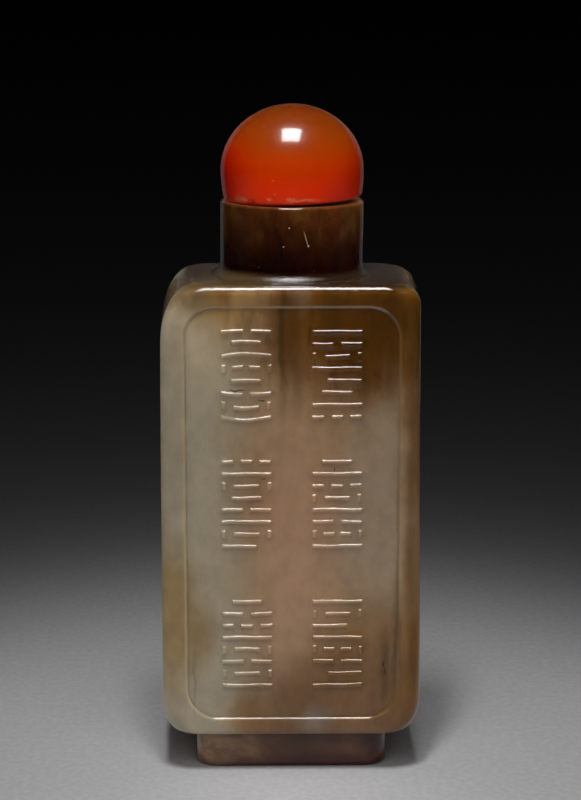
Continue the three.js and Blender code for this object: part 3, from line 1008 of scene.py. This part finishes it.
def neck_colour(stone):
    """Dark brown stone, paler towards the rim, with olive clouds and dark threads. Painted shade darkens
    it towards the root and on the left, and painted light lightens the rim's top.
    """
    waved = stone.warped(stone.warped(stone.place, (2.6, 2.6, 4.0), 1.2), (0.5, 0.5, 1.6), 0.5)
    x, _, true_height = stone.axes(stone.place)
    height = stone.axes(waved)[2]
    # Brown stone with painted shade: the neck darkens towards its root
    colour = stone.mix(stone.span(height, 53.0, 60.5), NECK_LOW, NECK_TOP)
    olive = stone.noise((2.2, 2.2, 3.5), 5)
    olive = stone.times(stone.span(olive, 0.45, 0.6), stone.span(height, 54.5, 58.0))
    colour = stone.mix(stone.times(olive, 0.7), colour, NECK_OLIVE)
    cloud = stone.noise((1.6, 1.6, 2.6), 6, 0.65)
    colour = stone.scaled(colour, stone.span(cloud, 0.32, 0.68, 0.65, 1.3))
    # Painted shade and light: darker on the neck's left, a little lighter on its right
    colour = stone.scaled(colour, stone.span(x, -7.5, 4.0, 0.42, 1.14))
    threads = stone.span(stone.noise((0.5, 0.5, 3.5), 5, 0.6), 0.5, 0.75)
    threads = stone.times(threads, stone.span(height, 54.0, 56.5))
    crack = stone.patch(waved, *NECK_CRACK, 0.7)
    dark = stone.most(stone.times(threads, 0.28), stone.times(crack, 0.8))
    colour = stone.mix(dark, colour, NECK_DARK)
    # Painted light: the rim's flat top is lightened to tan, so that it shows in the gap under the stopper
    rim_top_light = stone.span(true_height, RIM_HEIGHT - 0.05, RIM_HEIGHT, 0.0, 0.6)
    colour = stone.mix(rim_top_light, colour, RIM_BROWN)
    return stone.mix(neck_dust(stone, height, cloud), colour, DUST)


def neck_dust(stone, height, cloud):
    """A slanting scratch, a few specks and the dust that has settled near the neck's root."""
    x, y, z = stone.axes(stone.place)
    shift = stone.times(stone.minus(z, SCRATCH_MIDDLE[2]), SCRATCH_SLANT)
    leaned = stone.joined(stone.plus(x, shift), y, z)
    pale = stone.times(stone.patch(leaned, SCRATCH_MIDDLE, SCRATCH_REACH, 0.5), 0.6)
    for centre, radius in NECK_DUST:
        pale = stone.most(pale, stone.patch(stone.place, centre, (radius, 1.0, radius), 0.5))
    settled = stone.times(stone.pits(0.5, 0.06), stone.span(height, 52.0, 55.0, 0.7, 0.0))
    return stone.most(pale, stone.times(settled, stone.span(cloud, 0.45, 0.6)))


def foot_colour(stone):
    waved = stone.warped(stone.place, (2.4, 2.4, 1.4), 1.0)
    x, _, z = stone.axes(waved)
    cloud = stone.noise((2.2, 2.2, 1.2), 5)
    colour = stone.mix(stone.span(x, -7.5, -1.0), FOOT_PALE, FOOT_BROWN)
    colour = stone.mix(stone.span(cloud, 0.35, 0.7, 0.0, 0.6), colour, FOOT_DARK)
    middle = stone.patch(waved, (1.2, -6.5, 2.8), (3.2, THROUGH, 2.4), 0.8)
    colour = stone.mix(stone.times(middle, 0.75), colour, FOOT_DARK)
    # Painted shade near the floor: the foot's lower part and its lower right end are darkened to deep red
    low = stone.times(stone.span(z, 0.4, 2.4, 1.0, 0.0), stone.span(x, -9.0, 3.0, 0.7, 1.0))
    right_end_shade = stone.patch(waved, (9.6, -6.5, 1.4), (2.4, THROUGH, 2.2), 0.6)
    return stone.mix(stone.most(low, right_end_shade), colour, FOOT_RED)


# The heights over which the foot's, the body's, the shoulder's and the neck's colours meet
FOOT_TO_BODY = (3.9, 4.25)
BODY_TO_SHOULDER = (50.7, 51.6)
SHOULDER_TO_NECK = (52.1, 52.7)
GRIT_DISTANCE = 0.00005


def dress_bottle(bottle):
    """Polished stone with four areas of colour. Fine grit blurs the shine on the upper edges."""
    stone = Material("jade")
    x, y, height = stone.axes(stone.place)
    corner = stone.most(stone.minus(-9.9, x), 0.0)
    corner = stone.times(stone.times(corner, corner), stone.span(y, -9.2, -7.8, 0.0, 0.1))
    thin_skin = stone.patch(stone.place, (-9.5, -9.4, 51.6), (6.0, 6.5, 4.0), 0.8)
    thin_side = stone.patch(stone.place, (-13.4, 0.0, 50.2), (2.0, THROUGH, 1.8), 0.7)
    skin = stone.mix(stone.most(thin_skin, thin_side), SKIN, THIN_SKIN)
    on_shoulder = stone.span(stone.plus(height, corner), *BODY_TO_SHOULDER)
    colour = stone.mix(on_shoulder, body_colour(stone), skin)
    colour = stone.mix(stone.span(height, *SHOULDER_TO_NECK), colour, neck_colour(stone))
    colour = stone.mix(stone.span(height, *FOOT_TO_BODY), foot_colour(stone), colour)
    stone.set(Base_Color=colour, Roughness=0.3, IOR=1.5, Specular_IOR_Level=0.05, Subsurface_Weight=1.0,
              Subsurface_Radius=(1.0, 0.75, 0.5), Subsurface_Scale=0.0022,
              Coat_Weight=1.0, Coat_Roughness=0.05, Coat_IOR=1.5)
    at_root = stone.times(stone.span(height, 51.64, 51.72), stone.span(height, 52.5, 53.2, 1.0, 0.0))
    at_edge = stone.times(stone.span(height, 50.5, 50.8), stone.span(height, 51.45, 51.6, 1.0, 0.0))
    at_edge = stone.times(at_edge, stone.span(x, -9.5, -5.0, 0.6, 0.2))
    grit = stone.times(stone.noise(0.14, 2), stone.most(at_root, at_edge))
    stone.bump(grit, 1.0, GRIT_DISTANCE, "Coat Normal")
    bottle.data.materials.append(stone.made)


STOPPER_TOP = shade(121, 50, 6)
STOPPER_MIDDLE = shade(155, 58, 0)
STOPPER_RED = shade(229, 50, 0)
STOPPER_DEEP_RED = shade(176, 8, 0)
CHIP_PALE = shade(230, 130, 90)
CHIP_TAN = shade(170, 112, 72)
PIT_DEPTH = 0.00003

# Pale flakes along the stopper's lower edge: colour, centre, reach
FLAKES = (
    (CHIP_TAN, (-5.3, -5.1, 60.0), (0.9, 1.2, 0.35)),
    (CHIP_PALE, (-2.2, -7.1, 60.2), (0.28, 1.0, 0.22)),
    (CHIP_PALE, (-1.6, -7.2, 60.75), (0.16, 1.0, 0.1)),
    (CHIP_PALE, (0.1, -7.3, 60.15), (0.5, 1.0, 0.22)),
    (CHIP_PALE, (1.7, -7.2, 60.15), (1.2, 1.0, 0.16)),
    (CHIP_PALE, (-1.9, -7.2, 62.2), (0.12, 1.0, 0.07)),
)


def stopper_colour(glassy, pits):
    """Orange-red, browner towards the top and deeper at the lower sides, with pale flakes and pits."""
    x, _, z = glassy.axes(glassy.warped(glassy.place, (3.0, 3.0, 1.6), 0.5))
    colour = glassy.mix(glassy.span(z, 59.5, 66.5), STOPPER_RED, STOPPER_MIDDLE)
    colour = glassy.mix(glassy.span(z, 64.0, 69.6), colour, STOPPER_TOP)
    low_right = glassy.span(glassy.plus(x, glassy.times(z, -0.6)), -34.5, -30.0, 0.0, 0.5)
    colour = glassy.mix(low_right, colour, STOPPER_DEEP_RED)
    low_left = glassy.times(glassy.span(x, -7.4, -2.8, 0.9, 0.0), glassy.span(z, 64.0, 67.0, 1.0, 0.3))
    colour = glassy.mix(low_left, colour, STOPPER_DEEP_RED)
    ragged = glassy.warped(glassy.warped(glassy.place, 0.5, 0.25), 0.15, 0.14)
    crumbs = glassy.span(glassy.noise(0.22, 4, 0.7), 0.4, 0.62, 0.2, 0.8)
    for tint, centre, reach in FLAKES:
        share = glassy.times(glassy.patch(ragged, centre, reach, 0.5), crumbs)
        colour = glassy.mix(share, colour, tint)
    rim_shadow = glassy.span(glassy.axes(glassy.place)[2], 59.6, 60.0, 0.7, 0.0)
    colour = glassy.mix(rim_shadow, colour, STOPPER_DEEP_RED)
    return glassy.mix(glassy.times(pits, 0.6), colour, CHIP_PALE)


def dress_stopper(stopper):
    glassy = Material("red_agate")
    some = glassy.span(glassy.noise(2.5, 2), 0.46, 0.6)
    pits = glassy.times(glassy.pits(0.9, 0.07), some)
    glassy.set(Base_Color=stopper_colour(glassy, pits), Roughness=0.3, IOR=1.5, Specular_IOR_Level=0.2,
               Subsurface_Weight=1.0, Subsurface_Radius=(1.0, 0.3, 0.1), Subsurface_Scale=0.003,
               Coat_Weight=1.0, Coat_Roughness=0.12, Coat_IOR=1.47)
    glassy.bump(glassy.times(pits, -1.0), 0.5, PIT_DEPTH)
    stopper.data.materials.append(glassy.made)


# How pale the floor is painted at a distance from the middle of a painted pool of light, in millimetres
POOL = (
    (2, 0.68), (12, 0.64), (24, 0.6), (47, 0.52), (68, 0.5), (86, 0.42), (106, 0.27), (129, 0.12),
    (155, 0.064), (183, 0.044), (216, 0.032), (291, 0.0175), (388, 0.012), (680, 0.010), (1100, 0.007),
)
LAST_OCTAVE = 11.0
POOL_CENTRE = (0.0, -20.0, 0.0)
POOL_SHAPE = (1.7, 1.0, 1.0)
# Beyond this distance to a side the painted pool of light gets no darker
POOL_SIDE_REACH = 120.0
FLOOR_TINT = (1.0, 0.995, 1.02)
FLOOR_HALF = 2.5


def painted_light_pool(paper):
    """The painted pool of light's colours as a ramp over the logarithm of the distance from its middle."""
    offset = paper.vector("MULTIPLY", paper.vector("SUBTRACT", paper.place, POOL_CENTRE), POOL_SHAPE)
    x, y, z = paper.axes(offset)
    sideways = paper.least(paper.absolute(x), POOL_SIDE_REACH)
    away = paper.vector("LENGTH", paper.joined(sideways, y, z))
    ramp = paper.node("ValToRGB", paper.over(paper.math("LOGARITHM", away, 2.0), LAST_OCTAVE))
    ramp.color_ramp.interpolation = "B_SPLINE"
    stops = ramp.color_ramp.elements
    stops.remove(stops[-1])
    for number, (distance, level) in enumerate(POOL):
        place = math.log2(distance) / LAST_OCTAVE
        stop = stops[0] if number == 0 else stops.new(place)
        stop.position = place
        stop.color = (*(level * part for part in FLOOR_TINT), 1)
    return ramp.outputs[0]


def make_floor():
    mesh = bpy.data.meshes.new("floor")
    corners = [(x * FLOOR_HALF, y * FLOOR_HALF, 0) for x, y in ((-1, -1), (1, -1), (1, 1), (-1, 1))]
    mesh.from_pydata(corners, [], [(0, 1, 2, 3)])
    floor = placed("floor", mesh)
    paper = Material("pale_paper")
    mottle = paper.span(paper.noise((0.7, 1.2, 1.0), 4), 0.3, 0.7, 0.95, 1.05)
    # The floor's colour carries the painted pool of light, with mottling
    colour = paper.scaled(painted_light_pool(paper), mottle)
    paper.set(Base_Color=colour, Roughness=0.9, Specular_IOR_Level=0.1)
    floor.data.materials.append(paper.made)
    return floor


def area_light(name, place, aim, size, radiance, receivers):
    """A rectangular light on some objects. Place, aim and size are in millimetres."""
    lamp = bpy.data.lights.new(name, "AREA")
    lamp.shape = "RECTANGLE"
    lamp.size, lamp.size_y = size[0] * MM, size[1] * MM
    lamp.energy = 4 * radiance * lamp.size * lamp.size_y
    holder = aimed(name, lamp, place, aim)
    holder.visible_camera = False
    holder.light_linking.receiver_collection = receivers
    return holder


BODY_CENTRE = (0, 0, 30)
STOPPER_CENTRE = (0, 0, 62)


def toward(azimuth, elevation, distance, centre=BODY_CENTRE):
    """A point in a direction from the bottle: azimuth 0 is in front, 90 to the right."""
    a, e = math.radians(azimuth), math.radians(elevation)
    x, y, z = centre
    return (x + distance * math.sin(a) * math.cos(e),
            y - distance * math.cos(a) * math.cos(e),
            z + distance * math.sin(e))


def group_of(name, members):
    group = bpy.data.collections.new(name)
    for member in members:
        group.objects.link(member)
    return group


# Lights: name, what is lit, azimuth, elevation, distance, size and radiance.
# Those on the bottle or the stopper alone leave no reflections.
LIGHTS = (
    ("softbox", "pieces", -5.6, 75.5, 450, (172, 190), 16.5),
    ("front_fill", "bottle", -15, 32, 600, (600, 400), 2.4),
    ("low_fill", "bottle", -25, 12, 600, (500, 200), 1.25),
    ("left_fill", "bottle", -100, 42, 500, (320, 260), 2.9),
    ("right_fill", "bottle", 100, 42, 500, (320, 260), 4.2),
    ("back_fill", "bottle", 172, 42, 500, (320, 260), 4.8),
    ("stopper_glow", "stopper", 0, 10, 500, (400, 120), 6.3),
    ("stopper_back_glow", "stopper", 180, 15, 500, (400, 120), 4.5),
    ("stopper_left_glow", "stopper", -100, 10, 500, (400, 120), 1.2),
    ("stopper_right_glow", "stopper", 100, 10, 500, (400, 120), 1.2),
    ("floor_left", "floor", -9, 62, 450, (36, 150), 34.0),
    ("floor_right", "floor", 4, 62, 450, (36, 150), 19.4),
    ("floor_fill", "floor", 0, 28, 600, (500, 300), 1.7),
)
# Faint panels behind the bottle that shine along its outlines: name, place, size and radiance
EDGE_PANELS = (
    ("back_panel", (0, 600, 180), (700, 240), 0.022),
    ("left_card", (-95, 200, 60), (110, 130), 0.05),
    ("right_card", (95, 200, 60), (110, 130), 0.05),
)
ROOM_COLOUR = (0.0006, 0.0006, 0.0007, 1)


def make_lights(bottle, stopper, floor):
    members = {"pieces": [bottle, stopper], "bottle": [bottle], "stopper": [stopper], "floor": [floor]}
    lit = {name: group_of("lit_" + name, listed) for name, listed in members.items()}
    for name, target, azimuth, elevation, distance, size, radiance in LIGHTS:
        aim = STOPPER_CENTRE if target == "stopper" else BODY_CENTRE
        light = area_light(name, toward(azimuth, elevation, distance), aim, size, radiance, lit[target])
        light.visible_glossy = target in ("pieces", "floor")
    for name, place, size, radiance in EDGE_PANELS:
        area_light(name, place, BODY_CENTRE, size, radiance, lit["pieces"])
    world = bpy.data.worlds.new("dark_room")
    world.use_nodes = True
    world.node_tree.nodes["Background"].inputs["Color"].default_value = ROOM_COLOUR
    bpy.context.scene.world = world


CAMERA_DISTANCE = 450.485
CAMERA_AZIMUTH = -1.0
CAMERA_ELEVATION = 9.5
CAMERA_TARGET_HEIGHT = 38.105
CAMERA_ASIDE = 0.1055
CAMERA_LENS = 192.15


def make_camera():
    lens = bpy.data.cameras.new("camera")
    lens.sensor_width = 36.0
    lens.lens = CAMERA_LENS
    lens.clip_start = 0.02
    lens.clip_end = 20.0
    turn = math.radians(CAMERA_AZIMUTH)
    target = Vector((CAMERA_ASIDE * math.cos(turn), CAMERA_ASIDE * math.sin(turn), CAMERA_TARGET_HEIGHT))
    place = toward(CAMERA_AZIMUTH, CAMERA_ELEVATION, CAMERA_DISTANCE, target)
    bpy.context.scene.camera = aimed("camera", lens, place, target)


bottle = make_bottle()
stopper = make_stopper()
dress_bottle(bottle)
dress_stopper(stopper)
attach(bottle, "root")
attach(stopper, "root")
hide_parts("bottle")
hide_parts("stopper")
floor = make_floor()
make_lights(bottle, stopper, floor)
make_camera()
bpy.context.scene.view_settings.view_transform = "Standard"
